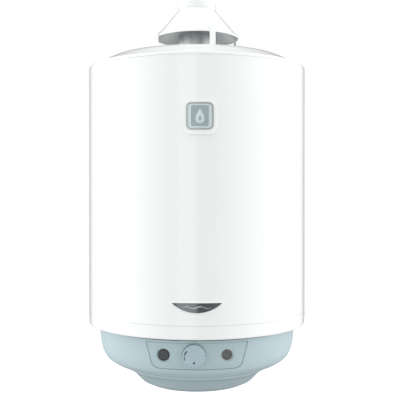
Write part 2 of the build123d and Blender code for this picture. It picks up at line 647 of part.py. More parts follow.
# ---- pilot group and leads ----
PILOT_X, PILOT_BACK = 47.0, -74.0
PROBE_X, PROBE_BACK = 61.0, -82.0
ELECTRODE_X, ELECTRODE_BACK = 33.0, -82.0
PILOT_FOOT, PILOT_PLATE_Z = -528.0, -522.0
with BuildPart() as pilot_bracket:
    block(level(PILOT_PLATE_Z, 50, -80), 48, 22, 1.5)
    block(level(TRAY_BOTTOM + 0.1, 70, -80), 1.5, 12, PILOT_PLATE_Z - TRAY_BOTTOM)
    for pin_x, pin_back, pin_r in (
        (PILOT_X, PILOT_BACK, 4.1),
        (PROBE_X, PROBE_BACK, 3.1),
        (ELECTRODE_X, ELECTRODE_BACK, 3.1),
    ):
        disc(level(PILOT_PLATE_Z - 2, pin_x, pin_back), pin_r, 6, mode=Mode.SUBTRACT)
save(pilot_bracket, "pilot_bracket")

with BuildPart() as pilot_burner:
    disc(level(PILOT_FOOT, PILOT_X, PILOT_BACK), 4, 26)
    disc(level(PILOT_FOOT + 26, PILOT_X, PILOT_BACK), 6.5, 8)
    disc(level(PILOT_FOOT + 28, PILOT_X, PILOT_BACK), 5, 8, mode=Mode.SUBTRACT)
save(pilot_burner, "pilot_burner")

PILOT_TUBE_Z = PILOT_FOOT + 3
with BuildPart() as pilot_gas_tube:
    route = [
        (22, VALVE_BACK, PILOT_TUBE_Z),
        (22, AXIS_Y + PILOT_BACK, PILOT_TUBE_Z),
        (PILOT_X - 4.1, AXIS_Y + PILOT_BACK, PILOT_TUBE_Z),
    ]
    sweep_tube(route, 9, 2.0, 1.2)
save(pilot_gas_tube, "pilot_gas_tube")

with BuildPart() as thermocouple:
    disc(level(PILOT_FOOT, PROBE_X, PROBE_BACK), 3, 34)
    route = [
        (PROBE_X, AXIS_Y + PROBE_BACK, PILOT_FOOT),
        (PROBE_X, AXIS_Y + PROBE_BACK, PILOT_FOOT - 9),
        (PROBE_X, AXIS_Y - 145, PILOT_FOOT - 9),
        (VALVE_RIGHT + 0.1, AXIS_Y - 145, PILOT_FOOT - 9),
    ]
    sweep_tube(route, [4, 9], 1.5)
save(thermocouple, "thermocouple")

with BuildPart() as ignition_electrode:
    disc(level(PILOT_FOOT, ELECTRODE_X, ELECTRODE_BACK), 3, 26)
    route = [
        (ELECTRODE_X, AXIS_Y + ELECTRODE_BACK, PILOT_FOOT + 26),
        (ELECTRODE_X, AXIS_Y + ELECTRODE_BACK, PILOT_FOOT + 38),
        (ELECTRODE_X + 9, AXIS_Y + ELECTRODE_BACK + 4, PILOT_FOOT + 38),
    ]
    sweep_tube(route, 3, 0.9)
save(ignition_electrode, "ignition_electrode")

IGNITER_BACK_Y = -424.0
LEAD_CROSS_Y = AXIS_Y - 125.0
with BuildPart() as ignition_lead:
    route = [
        (ELECTRODE_X, AXIS_Y + ELECTRODE_BACK, PILOT_FOOT - 0.05),
        (ELECTRODE_X, AXIS_Y + ELECTRODE_BACK, PILOT_FOOT - 9),
        (ELECTRODE_X - 6, LEAD_CROSS_Y, PILOT_FOOT - 9),
        (BUTTON_X, LEAD_CROSS_Y, CONTROL_Z - 9),
        (BUTTON_X, LEAD_CROSS_Y - 14, CONTROL_Z),
        (BUTTON_X, IGNITER_BACK_Y + 0.05, CONTROL_Z),
    ]
    sweep_tube(route, [4, 12, 8, 8], 2.0)
save(ignition_lead, "ignition_lead")

with BuildPart() as thermostat_capillary:
    route = [
        (KNOB_X, AXIS_Y - 160, VALVE_HIGH),
        (KNOB_X, AXIS_Y - 160, -486),
        (KNOB_X, AXIS_Y - 231, -486),
        (KNOB_X, AXIS_Y - 231, PROBE_Z),
        (KNOB_X, AXIS_Y - 150, PROBE_Z),
    ]
    sweep_tube(route, [5, 10, 12], 1.5)
    disc(facing(KNOB_X, AXIS_Y - 72, PROBE_Z), 4.2, 80)
save(thermostat_capillary, "thermostat_capillary")

# ---- knob and spindle ----
SPINDLE_FRONT, SPINDLE_BACK = -474.0, BOSS_FRONT + 19.0
FLAT = 3.4  # the spindle's flat, from its axis
with BuildPart() as valve_spindle:
    disc(facing(KNOB_X, SPINDLE_BACK, CONTROL_Z), SPINDLE_R, SPINDLE_BACK - SPINDLE_FRONT)
    flat_plane = facing(KNOB_X, BOSS_FRONT - 2, CONTROL_Z + FLAT + 5)
    block(flat_plane, 20, 10, 30, mode=Mode.SUBTRACT)
save(valve_spindle, "valve_spindle")

KNOB_WALL, HUB_R = 2.5, 8.5
DOT_R, DOT_DOWN = 2.3, 13.4
with BuildPart() as control_knob:
    disc(facing(KNOB_X, KNOB_SKIRT_Y, CONTROL_Z), KNOB_R, KNOB_SKIRT_Y - KNOB_FACE_Y)
    fillet(faces().sort_by(Axis.Y)[0].edges(), radius=1.8)
    hollow = KNOB_SKIRT_Y - KNOB_FACE_Y - KNOB_WALL
    disc(facing(KNOB_X, KNOB_SKIRT_Y, CONTROL_Z), KNOB_R - 2.2, hollow, mode=Mode.SUBTRACT)
    hub_length = KNOB_HUB_Y - KNOB_FACE_Y - KNOB_WALL / 2
    disc(facing(KNOB_X, KNOB_HUB_Y, CONTROL_Z), HUB_R, hub_length)
    bore_length = KNOB_HUB_Y - (SPINDLE_FRONT - PUSH - 2)
    with BuildSketch(facing(KNOB_X, KNOB_HUB_Y, CONTROL_Z)) as hub_bore:
        Circle(SPINDLE_R + RUNNING)
        with Locations((0, FLAT + RUNNING + 5)):
            Rectangle(20, 10, mode=Mode.SUBTRACT)
    extrude(hub_bore.sketch, amount=bore_length, mode=Mode.SUBTRACT)
    disc(facing(KNOB_X, KNOB_FACE_Y + 0.4, CONTROL_Z - DOT_DOWN), DOT_R, 5, mode=Mode.SUBTRACT)
save(control_knob, "control_knob")


def coil_spring(x, low_y, high_y, mean_r, wire_r, turns):
    """A closed-end compression spring along Y, inside a part block."""
    length = high_y - low_y - 2 * wire_r
    start = (x, high_y - wire_r, CONTROL_Z)
    with BuildLine() as wire:
        Helix(length / turns, length, mean_r, center=start, direction=(0, -1, 0))
    with BuildSketch(Plane(origin=wire.line @ 0, z_dir=wire.line % 0)) as section:
        Circle(wire_r)
    sweep(section.sketch, path=wire.line, is_frenet=True)


with BuildPart() as knob_spring:
    coil_spring(KNOB_X, KNOB_HUB_Y + 0.1, BOSS_FRONT - 0.1, 7.0, 0.5, 3)
save(knob_spring, "knob_spring")

# ---- igniter ----
BUTTON_R, BUTTON_FACE_Y, BUTTON_BACK_Y, STEM_R = 10.4, -476.0, -469.0, 4.0
IGNITER_FACE_Y, IGNITER_FLOOR_Y, IGNITER_CASE_R = -475.0, -458.0, 9.0
STEM_END_Y = -447.0
with BuildPart() as igniter_body:
    front_length = IGNITER_FLOOR_Y - IGNITER_FACE_Y + 2
    front = facing(BUTTON_X, IGNITER_FLOOR_Y + 2, CONTROL_Z)
    disc(front, BUTTON_HOLE_R, front_length)
    case_length = IGNITER_BACK_Y - front.origin.Y
    disc(facing(BUTTON_X, IGNITER_BACK_Y, CONTROL_Z), IGNITER_CASE_R, case_length)
    pocket = facing(BUTTON_X, IGNITER_FLOOR_Y, CONTROL_Z)
    disc(pocket, BUTTON_R + 0.35, 30, mode=Mode.SUBTRACT)
    disc(pocket, STEM_R + RUNNING, STEM_END_Y - IGNITER_FLOOR_Y + PUSH + 1, mode=Mode.SUBTRACT)
    stem_bore = facing(BUTTON_X, STEM_END_Y + PUSH + 1, CONTROL_Z)
    disc(stem_bore, STEM_R + RUNNING, 30, mode=Mode.SUBTRACT)
save(igniter_body, "igniter_body")

with BuildPart() as igniter_button:
    disc(facing(BUTTON_X, BUTTON_BACK_Y, CONTROL_Z), BUTTON_R, BUTTON_BACK_Y - BUTTON_FACE_Y)
    fillet(faces().sort_by(Axis.Y)[0].edges(), radius=2.0)
    disc(facing(BUTTON_X, STEM_END_Y, CONTROL_Z), STEM_R, STEM_END_Y - BUTTON_BACK_Y)
save(igniter_button, "igniter_button")

with BuildPart() as igniter_spring:
    coil_spring(BUTTON_X, BUTTON_BACK_Y + 0.1, IGNITER_FLOOR_Y - 0.1, 6.5, 0.5, 4)
save(igniter_spring, "igniter_spring")

with BuildPart() as igniter_nut:
    with BuildSketch(facing(BUTTON_X, BOSS_BACK_Y + 5.1, CONTROL_Z)):
        RegularPolygon(16, 6)
        Circle(BUTTON_HOLE_R + 0.1, mode=Mode.SUBTRACT)
    extrude(amount=5)
save(igniter_nut, "igniter_nut")

# ---- sight port ----
with BuildPart() as sight_bezel:
    disc(facing(SIGHT_X, BOSS_BACK_Y, CONTROL_Z), SIGHT_R, 12.5, SIGHT_R - 1.6)
    disc(facing(SIGHT_X, BOSS_BACK_Y, CONTROL_Z), SIGHT_R - 1, 2.0, SIGHT_R - 3.5)
save(sight_bezel, "sight_bezel")

with BuildPart() as sight_glass:
    disc(facing(SIGHT_X, BOSS_BACK_Y - 2.1, CONTROL_Z), SIGHT_R - 1.7, 2)
save(sight_glass, "sight_glass")

# ---- badge and name plate ----
BEZEL_LIFT, FRAME_LIFT = 3.0, 5.2  # how far each stands out from the jacket
FRONT_CAST = 60.0


def cast_shell(outline, inner, outer):
    """A curved plate between two radii, cut to an outline seen from the front."""
    with BuildPart() as plate:
        revolve_ring(inner, outer, BADGE_Z - 420, BADGE_Z + 60)
        extrude(facing(0, AXIS_Y - 200, 0) * outline, amount=FRONT_CAST, mode=Mode.INTERSECT)
    return plate.part


def rounded(x, z, width, height, corner, hole=0.0):
    """A rounded rectangle seen from the front, as a sketch, with an optional frame width."""
    with BuildSketch() as outline:
        with Locations((x, z)):
            RectangleRounded(width, height, corner)
            if hole:
                inset = 2 * hole
                RectangleRounded(width - inset, height - inset, corner - hole, mode=Mode.SUBTRACT)
    return outline.sketch


with BuildPart() as badge_bezel:
    bezel = rounded(BADGE_X + 1, BADGE_Z - 2.4, 70, 69, 16)
    add(cast_shell(bezel, BODY_R + 0.05, BODY_R + BEZEL_LIFT))
    recess = rounded(BADGE_X, BADGE_Z, 50, 50, 8)
    add(cast_shell(recess, BODY_R + 2, BODY_R + 4), mode=Mode.SUBTRACT)
save(badge_bezel, "badge_bezel")

with BuildPart() as badge_frame:
    frame_outline = rounded(BADGE_X, BADGE_Z, 55, 54.5, 10, 2.6)
    add(cast_shell(frame_outline, BODY_R + BEZEL_LIFT + 0.05, BODY_R + FRAME_LIFT))
save(badge_frame, "badge_frame")

with BuildPart() as badge_plate:
    plate_outline = rounded(BADGE_X, BADGE_Z, 49.4, 48.9, 7.2)
    add(cast_shell(plate_outline, BODY_R + BEZEL_LIFT + 0.1, BODY_R + 4.2))
    pocket = rounded(BADGE_X, BADGE_Z, 36, 42, 4)
    add(cast_shell(pocket, BODY_R + 3.7, BODY_R + 6), mode=Mode.SUBTRACT)
save(badge_plate, "badge_plate")

with BuildPart() as name_plate:
    with BuildSketch() as plate_shape:
        with BuildLine():
            top_edge = Line((-PLATE_WIDTH / 2, PLATE_Z), (PLATE_WIDTH / 2, PLATE_Z))
            SagittaArc(top_edge @ 1, top_edge @ 0, PLATE_DROP)
        make_face()
    add(cast_shell(plate_shape.sketch, BODY_R + 0.05, BODY_R + 1.6))
save(name_plate, "name_plate")

# ---- wall bracket ----
WEB_Y = -(AXIS_DEPTH - BODY_R) + BRACKET_SHEET + 0.2  # wall side of the bracket's web
with BuildPart() as wall_bracket:
    with BuildSketch(Plane.XY.offset(-BRACKET_HEIGHT / 2)):
        with BuildLine():
            FilletPolyline(
                (-BRACKET_HALF, 0),
                (-62.0, 0),
                (-50.0, WEB_Y),
                (50.0, WEB_Y),
                (62.0, 0),
                (BRACKET_HALF, 0),
                radius=3.5,
            )
            offset(amount=BRACKET_SHEET, side=Side.RIGHT)
        make_face()
    extrude(amount=BRACKET_HEIGHT)
    with BuildSketch(facing(0, 5, 0)) as slots:
        with Locations((-SLOT_X, 0), (SLOT_X, 0)):
            SlotOverall(SLOT_LENGTH, 2 * SLOT_R)
        with Locations((0, -BOLT_Z), (0, BOLT_Z)):
            Circle(5.5)
    extrude(slots.sketch, amount=30, mode=Mode.SUBTRACT)
save(wall_bracket, "wall_bracket")

with BuildPart() as bracket_bolts:
    for bolt_z in (-BOLT_Z, BOLT_Z):
        with BuildSketch(facing(0, WEB_Y + 6.5, bolt_z)) as bolt_head:
            RegularPolygon(7.5, 6, major_radius=False)
        extrude(bolt_head.sketch, amount=6.4)
        disc(facing(0, WEB_Y + 0.1, bolt_z), 4.95, 30)
save(bracket_bolts, "bracket_bolts")

with BuildPart() as wall_spacers:
    for spacer_x in (-60.0, 60.0):
        disc(facing(spacer_x, 0, -430), 11.0, 40)
        disc(facing(spacer_x, 0, -430), 4.0, 3, mode=Mode.SUBTRACT)
    revolve_ring(0, BODY_R + 0.1, -450, -410, mode=Mode.SUBTRACT)
save(wall_spacers, "wall_spacers")
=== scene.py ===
import json
import math
import bpy
import bmesh
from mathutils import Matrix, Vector


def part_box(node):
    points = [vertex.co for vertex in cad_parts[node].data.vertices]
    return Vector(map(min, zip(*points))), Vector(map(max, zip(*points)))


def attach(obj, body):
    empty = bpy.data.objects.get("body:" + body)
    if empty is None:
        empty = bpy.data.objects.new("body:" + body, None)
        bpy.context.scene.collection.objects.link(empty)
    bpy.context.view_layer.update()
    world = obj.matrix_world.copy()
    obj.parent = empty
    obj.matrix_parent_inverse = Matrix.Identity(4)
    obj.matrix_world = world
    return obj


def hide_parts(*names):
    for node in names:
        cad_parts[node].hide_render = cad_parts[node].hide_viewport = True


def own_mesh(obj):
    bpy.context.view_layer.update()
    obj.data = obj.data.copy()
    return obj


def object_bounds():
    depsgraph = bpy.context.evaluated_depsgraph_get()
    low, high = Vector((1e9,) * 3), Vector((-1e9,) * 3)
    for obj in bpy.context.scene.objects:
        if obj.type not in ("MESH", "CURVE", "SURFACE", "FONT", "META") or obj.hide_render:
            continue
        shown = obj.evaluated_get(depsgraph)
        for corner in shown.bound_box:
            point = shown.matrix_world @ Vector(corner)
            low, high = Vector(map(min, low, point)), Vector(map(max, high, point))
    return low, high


# A wall-hung gas storage water heater, in metres. +Z is up, the front faces -Y, the wall is Y = 0.
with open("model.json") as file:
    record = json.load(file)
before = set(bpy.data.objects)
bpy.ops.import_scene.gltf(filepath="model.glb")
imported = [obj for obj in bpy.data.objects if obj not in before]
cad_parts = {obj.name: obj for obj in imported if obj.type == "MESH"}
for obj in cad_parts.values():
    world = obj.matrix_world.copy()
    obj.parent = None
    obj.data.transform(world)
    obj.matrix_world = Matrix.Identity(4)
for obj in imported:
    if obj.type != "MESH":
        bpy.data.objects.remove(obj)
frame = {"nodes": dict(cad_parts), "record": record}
CAD_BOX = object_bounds()
MM = 0.001


# ---- where things are ----
def middle(node):
    """The centre of a node's box at rest."""
    low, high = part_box(node)
    return (low + high) / 2


jacket_low, jacket_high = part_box("outer_jacket")
AXIS_X, AXIS_Y = middle("outer_jacket").x, middle("outer_jacket").y
CASING_R = (jacket_high.x - jacket_low.x) / 2
knob_low, knob_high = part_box("control_knob")
KNOB = middle("control_knob")
KNOB_FACE = knob_low.y


def skin(x, z, lift):
    """A point on the casing's front, lift outside its surface, seen from the front at x and z."""
    reach = CASING_R + lift
    return Vector((x, AXIS_Y - math.sqrt(reach * reach - (x - AXIS_X) ** 2), z))


# ---- materials ----
def ramp(nodes, links, source, low, high):
    """A colour between low and high that follows a 0 to 1 texture value."""
    blend = nodes.new("ShaderNodeValToRGB")
    blend.color_ramp.elements[0].position = 0.25
    blend.color_ramp.elements[1].position = 0.75
    blend.color_ramp.elements[0].color = (*low, 1)
    blend.color_ramp.elements[1].color = (*high, 1)
    links.new(source, blend.inputs["Fac"])
    return blend.outputs["Color"]


def texture(nodes, links, place, kind, scale, stretch):
    """A noise or cell texture in metres of the object's own space, stretched along its axes."""
    scaling = nodes.new("ShaderNodeMapping")
    scaling.inputs["Scale"].default_value = stretch
    links.new(place, scaling.inputs["Vector"])
    pattern = nodes.new("ShaderNodeTexVoronoi" if kind == "cells" else "ShaderNodeTexNoise")
    pattern.inputs["Scale"].default_value = scale
    links.new(scaling.outputs["Vector"], pattern.inputs["Vector"])
    if kind == "cells":
        pattern.inputs["Randomness"].default_value = 1.0
        split = nodes.new("ShaderNodeSeparateColor")
        links.new(pattern.outputs["Color"], split.inputs["Color"])
        return split.outputs["Red"]
    pattern.inputs["Detail"].default_value = 4.0
    pattern.inputs["Roughness"].default_value = 0.55
    return pattern.outputs["Fac"]


def painted_shade_below(nodes, links, place, tint, height, factor):
    """Painted shade: a colour that is multiplied by factor below a height, over a 2 mm edge."""
    split = nodes.new("ShaderNodeSeparateXYZ")
    links.new(place, split.inputs["Vector"])
    fade = nodes.new("ShaderNodeMapRange")
    fade.inputs["From Min"].default_value = height - 1.0 * MM
    fade.inputs["From Max"].default_value = height + 1.0 * MM
    fade.inputs["To Min"].default_value = factor
    fade.inputs["To Max"].default_value = 1.0
    links.new(split.outputs["Z"], fade.inputs["Value"])
    darken = nodes.new("ShaderNodeVectorMath")
    darken.operation = "SCALE"
    links.new(tint, darken.inputs["Vector"])
    links.new(fade.outputs["Result"], darken.inputs["Scale"])
    return darken.outputs["Vector"]


def finish(name, colour, rough, metal=0.0, tone=0.03, tone_scale=5.0, swing=0.04,
           swing_scale=40.0, kind="noise", stretch=(1, 1, 1), bumps=(), painted_shade=None, **sockets):
    """A material whose colour and roughness drift gently, with fine relief on top.

    The painted shade is a (height, factor) pair: the moulding below that height is darkened,
    painted shade under the upper tier's ledge."""
    material = bpy.data.materials.new(name)
    material.use_nodes = True
    nodes, links = material.node_tree.nodes, material.node_tree.links
    shader = nodes["Principled BSDF"]
    place = nodes.new("ShaderNodeTexCoord").outputs["Object"]
    drift = texture(nodes, links, place, kind, tone_scale, stretch)
    low = [max(0.0, channel * (1 - tone)) for channel in colour]
    high = [min(1.0, channel * (1 + tone)) for channel in colour]
    tint = ramp(nodes, links, drift, low, high)
    if painted_shade:
        tint = painted_shade_below(nodes, links, place, tint, *painted_shade)
    links.new(tint, shader.inputs["Base Color"])
    shader.inputs["Metallic"].default_value = metal
    spread = nodes.new("ShaderNodeMapRange")
    spread.inputs["To Min"].default_value = max(0.02, rough - swing)
    spread.inputs["To Max"].default_value = min(1.0, rough + swing)
    spread.inputs["From Min"].default_value = 0.25
    spread.inputs["From Max"].default_value = 0.75
    links.new(texture(nodes, links, place, kind, swing_scale, stretch), spread.inputs["Value"])
    links.new(spread.outputs["Result"], shader.inputs["Roughness"])
    relief = None
    for bump_kind, scale, depth, bump_stretch in bumps:
        bump = nodes.new("ShaderNodeBump")
        bump.inputs["Strength"].default_value = 1.0
        bump.inputs["Distance"].default_value = depth * MM
        links.new(texture(nodes, links, place, bump_kind, scale, bump_stretch),
                  bump.inputs["Height"])
        if relief:
            links.new(relief, bump.inputs["Normal"])
        relief = bump.outputs["Normal"]
    if relief:
        links.new(relief, shader.inputs["Normal"])
    for socket, value in sockets.items():
        shader.inputs[socket.replace("_", " ")].default_value = value
    return material


EVEN = (1, 1, 1)
ORANGE_PEEL = (("noise", 260, 0.018, EVEN),)
MOULDED = (("noise", 1500, 0.02, EVEN), ("noise", 320, 0.012, EVEN))
FINE_MOULDED = (("noise", 1900, 0.010, EVEN),)
SHEET = (("noise", 120, 0.05, EVEN),)
AS_CAST = (("noise", 900, 0.10, EVEN), ("noise", 110, 0.10, EVEN))
TIER_Z = middle("control_cover").z - 27.5 * MM  # painted shade: the cover's lower tier is darkened below this, under the upper tier's ledge

LOOKS = {
    "white_enamel": finish("white_enamel", (0.885, 0.914, 0.906), 0.20, tone=0.012, tone_scale=3,
                           swing=0.03, bumps=ORANGE_PEEL, Coat_Weight=0.6, Coat_Roughness=0.05),
    "grey_plastic": finish("grey_plastic", (0.452, 0.575, 0.615), 0.46, tone=0.03, tone_scale=9,
                           swing=0.05, swing_scale=60, bumps=MOULDED,
                           # painted shade on the cover's lower tier, under the upper tier's ledge
                           painted_shade=(TIER_Z, 0.80)),
    "panel_plastic": finish("panel_plastic", (0.428, 0.552, 0.582), 0.44, tone=0.03,
                            tone_scale=9, swing=0.05, swing_scale=60, bumps=MOULDED),
    "knob_plastic": finish("knob_plastic", (0.412, 0.530, 0.578), 0.38, tone=0.02,
                           tone_scale=20, swing=0.05, swing_scale=120, bumps=FINE_MOULDED),
    "black_plastic": finish("black_plastic", (0.062, 0.068, 0.072), 0.42, tone=0.12,
                            tone_scale=120, swing=0.07, swing_scale=220, bumps=FINE_MOULDED),
    "white_plastic": finish("white_plastic", (0.93, 0.955, 0.95), 0.22, tone=0.012, tone_scale=20,
                            swing=0.04, bumps=(("noise", 420, 0.008, EVEN),), Coat_Weight=0.2,
                            Coat_Roughness=0.05),
    "badge_grey": finish("badge_grey", (0.40, 0.44, 0.45), 0.30, metal=0.25, tone=0.03,
                         tone_scale=160, swing=0.06, swing_scale=300, bumps=FINE_MOULDED),
    "badge_light": finish("badge_light", (0.60, 0.69, 0.71), 0.16, tone=0.02, tone_scale=60,
                          swing=0.04, swing_scale=90, bumps=(("noise", 500, 0.006, EVEN),),
                          Coat_Weight=0.5, Coat_Roughness=0.04),
    "badge_field": finish("badge_field", (0.33, 0.40, 0.42), 0.30, tone=0.04, tone_scale=120,
                          swing=0.05, swing_scale=260, bumps=FINE_MOULDED, Coat_Weight=0.3,
                          Coat_Roughness=0.05),
    "plate_dark": finish("plate_dark", (0.165, 0.185, 0.190), 0.12, metal=0.9, tone=0.06,
                         tone_scale=500, swing=0.03, swing_scale=600, stretch=(0.05, 0.05, 1),
                         bumps=(("noise", 900, 0.004, (0.04, 0.04, 1)),)),
    "galvanised": finish("galvanised", (0.50, 0.53, 0.54), 0.40, metal=0.9, tone=0.12,
                         tone_scale=150, swing=0.08, swing_scale=150, kind="cells",
                         bumps=(("cells", 150, 0.006, EVEN),)),
    "aluminised": finish("aluminised", (0.52, 0.55, 0.55), 0.36, metal=0.9, tone=0.06,
                         tone_scale=300, swing=0.09, swing_scale=500, stretch=(1, 1, 0.05),
                         bumps=(("noise", 700, 0.012, (1, 1, 0.04)),) + SHEET),
    "steel": finish("steel", (0.60, 0.61, 0.60), 0.26, metal=1.0, tone=0.06, tone_scale=160,
                    swing=0.08, swing_scale=240, bumps=(("noise", 1200, 0.010, EVEN),)),
    "tank_steel": finish("tank_steel", (0.018, 0.028, 0.052), 0.22, tone=0.25, tone_scale=24,
                         swing=0.06, swing_scale=60, bumps=(("noise", 240, 0.05, EVEN),),
                         Coat_Weight=0.6, Coat_Roughness=0.06),
    "cast_alloy": finish("cast_alloy", (0.54, 0.55, 0.55), 0.46, metal=0.9, tone=0.06,
                         tone_scale=70, swing=0.1, swing_scale=150, bumps=AS_CAST),
    "brass": finish("brass", (0.62, 0.43, 0.16), 0.26, metal=1.0, tone=0.08, tone_scale=70,
                    swing=0.08, swing_scale=400, bumps=(("noise", 1500, 0.012, EVEN),)),
    "copper": finish("copper", (0.66, 0.32, 0.19), 0.30, metal=1.0, tone=0.14, tone_scale=45,
                     swing=0.09, swing_scale=90, bumps=(("noise", 700, 0.012, EVEN),)),
    "ceramic": finish("ceramic", (0.80, 0.78, 0.71), 0.24, tone=0.03, tone_scale=160,
                      swing=0.05, bumps=(("noise", 700, 0.02, EVEN),), Coat_Weight=0.3),
    "foam": finish("foam", (0.74, 0.60, 0.29), 0.86, tone=0.14, tone_scale=26, swing=0.08,
                   bumps=(("cells", 420, 0.35, EVEN), ("noise", 60, 0.8, EVEN)),
                   Sheen_Weight=0.15),
    "magnesium": finish("magnesium", (0.50, 0.50, 0.48), 0.52, metal=0.85, tone=0.08,
                        tone_scale=50, swing=0.1, bumps=AS_CAST),
    "rubber_black": finish("rubber_black", (0.052, 0.054, 0.056), 0.62, tone=0.2,
                           tone_scale=150, swing=0.08, bumps=(("noise", 1100, 0.03, EVEN),)),
    "blue_plastic": finish("blue_plastic", (0.012, 0.085, 0.42), 0.36, tone=0.08,
                           tone_scale=120, swing=0.06, bumps=FINE_MOULDED),
    "red_plastic": finish("red_plastic", (0.46, 0.012, 0.010), 0.36, tone=0.08, tone_scale=120,
                          swing=0.06, bumps=FINE_MOULDED),
    "lead_sleeve": finish("lead_sleeve", (0.52, 0.52, 0.50), 0.5, tone=0.05, tone_scale=200,
                          swing=0.06, bumps=FINE_MOULDED, Sheen_Weight=0.1),
    "sight_mica": finish("sight_mica", (0.205, 0.210, 0.210), 0.10, tone=0.18, tone_scale=220,
                         swing=0.03, bumps=(("noise", 300, 0.01, EVEN),), Coat_Weight=0.6,
                         Coat_Roughness=0.03),
    "mark_ink": finish("mark_ink", (0.045, 0.055, 0.060), 0.36, tone=0.12, tone_scale=600,
                       swing=0.06, bumps=FINE_MOULDED),
    "tick_ink": finish("tick_ink", (0.150, 0.200, 0.220), 0.36, tone=0.1, tone_scale=600,
                       swing=0.06, bumps=FINE_MOULDED),
    "silver_inlay": finish("silver_inlay", (0.74, 0.76, 0.77), 0.22, metal=0.7, tone=0.04,
                           tone_scale=400, swing=0.05, bumps=(("noise", 900, 0.004, EVEN),)),
}

for part in frame["record"]["subparts"]:
    for material_slot in frame["nodes"][part["node"]].material_slots:
        material_slot.material = LOOKS[part["material_slot"]]


# ---- mesh helpers ----
def piece(name, points, faces, look, slot, body="root", crease=32.0):
    """A new mesh object in the shared frame, smooth except at edges sharper than crease."""
    mesh = bpy.data.meshes.new(name)
    mesh.from_pydata([tuple(point) for point in points], [], faces)
    work = bmesh.new()
    work.from_mesh(mesh)
    bmesh.ops.remove_doubles(work, verts=work.verts, dist=1e-7)
    bmesh.ops.recalc_face_normals(work, faces=work.faces)
    for face in work.faces:
        face.smooth = True
    for edge in work.edges:
        edge.smooth = edge.calc_face_angle(0) < math.radians(crease)
    work.to_mesh(mesh)
    work.free()
    mesh.materials.append(LOOKS[look])
    thing = bpy.data.objects.new(name, mesh)
    bpy.context.collection.objects.link(thing)
    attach(thing, body)
    return thing


def join(*parts):
    """Several (points, faces) pairs as one."""
    points, faces = [], []
    for part_points, part_faces in parts:
        start = len(points)
        points += part_points
        faces += [tuple(index + start for index in face) for face in part_faces]
    return points, faces


def loft(loops, capped=True):
    """Skin a row of closed loops of the same length, with flat ends."""
    count = len(loops[0])
    points = [point for loop in loops for point in loop]
    faces = []
    for row in range(len(loops) - 1):
        for step in range(count):
            after = (step + 1) % count
            faces.append((row * count + step, row * count + after,
                          (row + 1) * count + after, (row + 1) * count + step))
    if capped:
        faces.append(tuple(range(count)))
        faces.append(tuple(range((len(loops) - 1) * count, len(loops) * count)))
    return points, faces


def basis(direction):
    """Two directions square to a direction and to each other."""
    direction = Vector(direction).normalized()
    hint = Vector((0, 0, 1)) if abs(direction.z) < 0.9 else Vector((1, 0, 0))
    side = direction.cross(hint).normalized()
    return direction, side, direction.cross(side)


def lathe(profile, origin, direction, steps=64, closed=False):
    """Turn a (radius, height) profile about an axis. A closed profile makes a ring."""
    along, side, other = basis(direction)
    loops = []
    for radius, height in profile:
        loop = []
        for step in range(steps):
            angle = 2 * math.pi * step / steps
            offset = (side * math.cos(angle) + other * math.sin(angle)) * radius
            loop.append(Vector(origin) + along * height + offset)
        loops.append(loop)
    if closed:
        loops.append(loops[0])
        return loft(loops, capped=False)
    return loft(loops)


def tube(path, radius, steps=14):
    """A round rod along a row of points, with closed ends."""
    loops, side = [], None
    for number, point in enumerate(path):
        ahead = path[min(number + 1, len(path) - 1)] - path[max(number - 1, 0)]
        ahead.normalize()
        if side is None:
            side = basis(ahead)[1]
        side = (side - ahead * side.dot(ahead)).normalized()
        other = ahead.cross(side)
        loops.append([
            point + (side * math.cos(turn) + other * math.sin(turn)) * radius
            for turn in (2 * math.pi * step / steps for step in range(steps))
        ])
    return loft(loops)


# ---- dial: printed marks and the pointer's dot ----
INK_HEIGHT = 0.12 * MM
TICK_R = 19.7  # millimetres from the knob's centre to the row of ticks
TICK_ANGLES = (7, -19, -44, -63, -87, -105, -126)
POINTER_DROP = 13.4 * MM  # the pointer's dot below the knob's centre


def dial_point(radius, angle, proud):
    """A point on the knob's face: a radius in millimetres, and an angle anticlockwise from +X."""
    turn = math.radians(angle)
    return Vector((KNOB.x + radius * MM * math.cos(turn), KNOB_FACE - proud,
                   KNOB.z + radius * MM * math.sin(turn)))


def dial_band(start, end, start_line, end_line, start_width, end_width, steps=10):
    """A band of ink between two angles whose middle line and width change along it."""
    outer, inner = [], []
    for step in range(steps + 1):
        part = step / steps
        angle = start + (end - start) * part
        line = start_line + (end_line - start_line) * part
        half = (start_width + (end_width - start_width) * part) / 2
        outer.append((line + half, angle))
        inner.append((line - half, angle))
    ring = outer + inner[::-1]
    return loft([[dial_point(r, a, proud) for r, a in ring]
                 for proud in (-0.05 * MM, INK_HEIGHT * 0.7, INK_HEIGHT)])


bands = join(dial_band(144, 176, 17.6, 19.8, 3.2, 2.0), dial_band(182.5, 203, 19.9, 20.3, 2.1, 1.8))
piece("dial_bands", *bands, "mark_ink", "black_plastic", "control_knob")
ticks = []
for tick_angle in TICK_ANGLES:
    centre = dial_point(TICK_R, tick_angle, 0)
    ticks.append(lathe([(0.85 * MM, -0.05 * MM), (0.85 * MM, 0.08 * MM), (0.6 * MM, 0.14 * MM),
                        (0.2 * MM, 0.16 * MM)], centre, (0, -1, 0), 20))
piece("dial_ticks", *join(*ticks), "tick_ink", "black_plastic", "control_knob")
dot_centre = Vector((KNOB.x, KNOB_FACE, KNOB.z - POINTER_DROP))
piece("dial_pointer", *lathe([(2.25 * MM, -0.38 * MM), (2.25 * MM, -0.1 * MM),
                              (2.1 * MM, 0.05 * MM), (1.5 * MM, 0.16 * MM),
                              (0.7 * MM, 0.22 * MM), (0.1 * MM, 0.23 * MM)],
                             dot_centre, (0, -1, 0), 40),
      "mark_ink", "black_plastic", "control_knob")

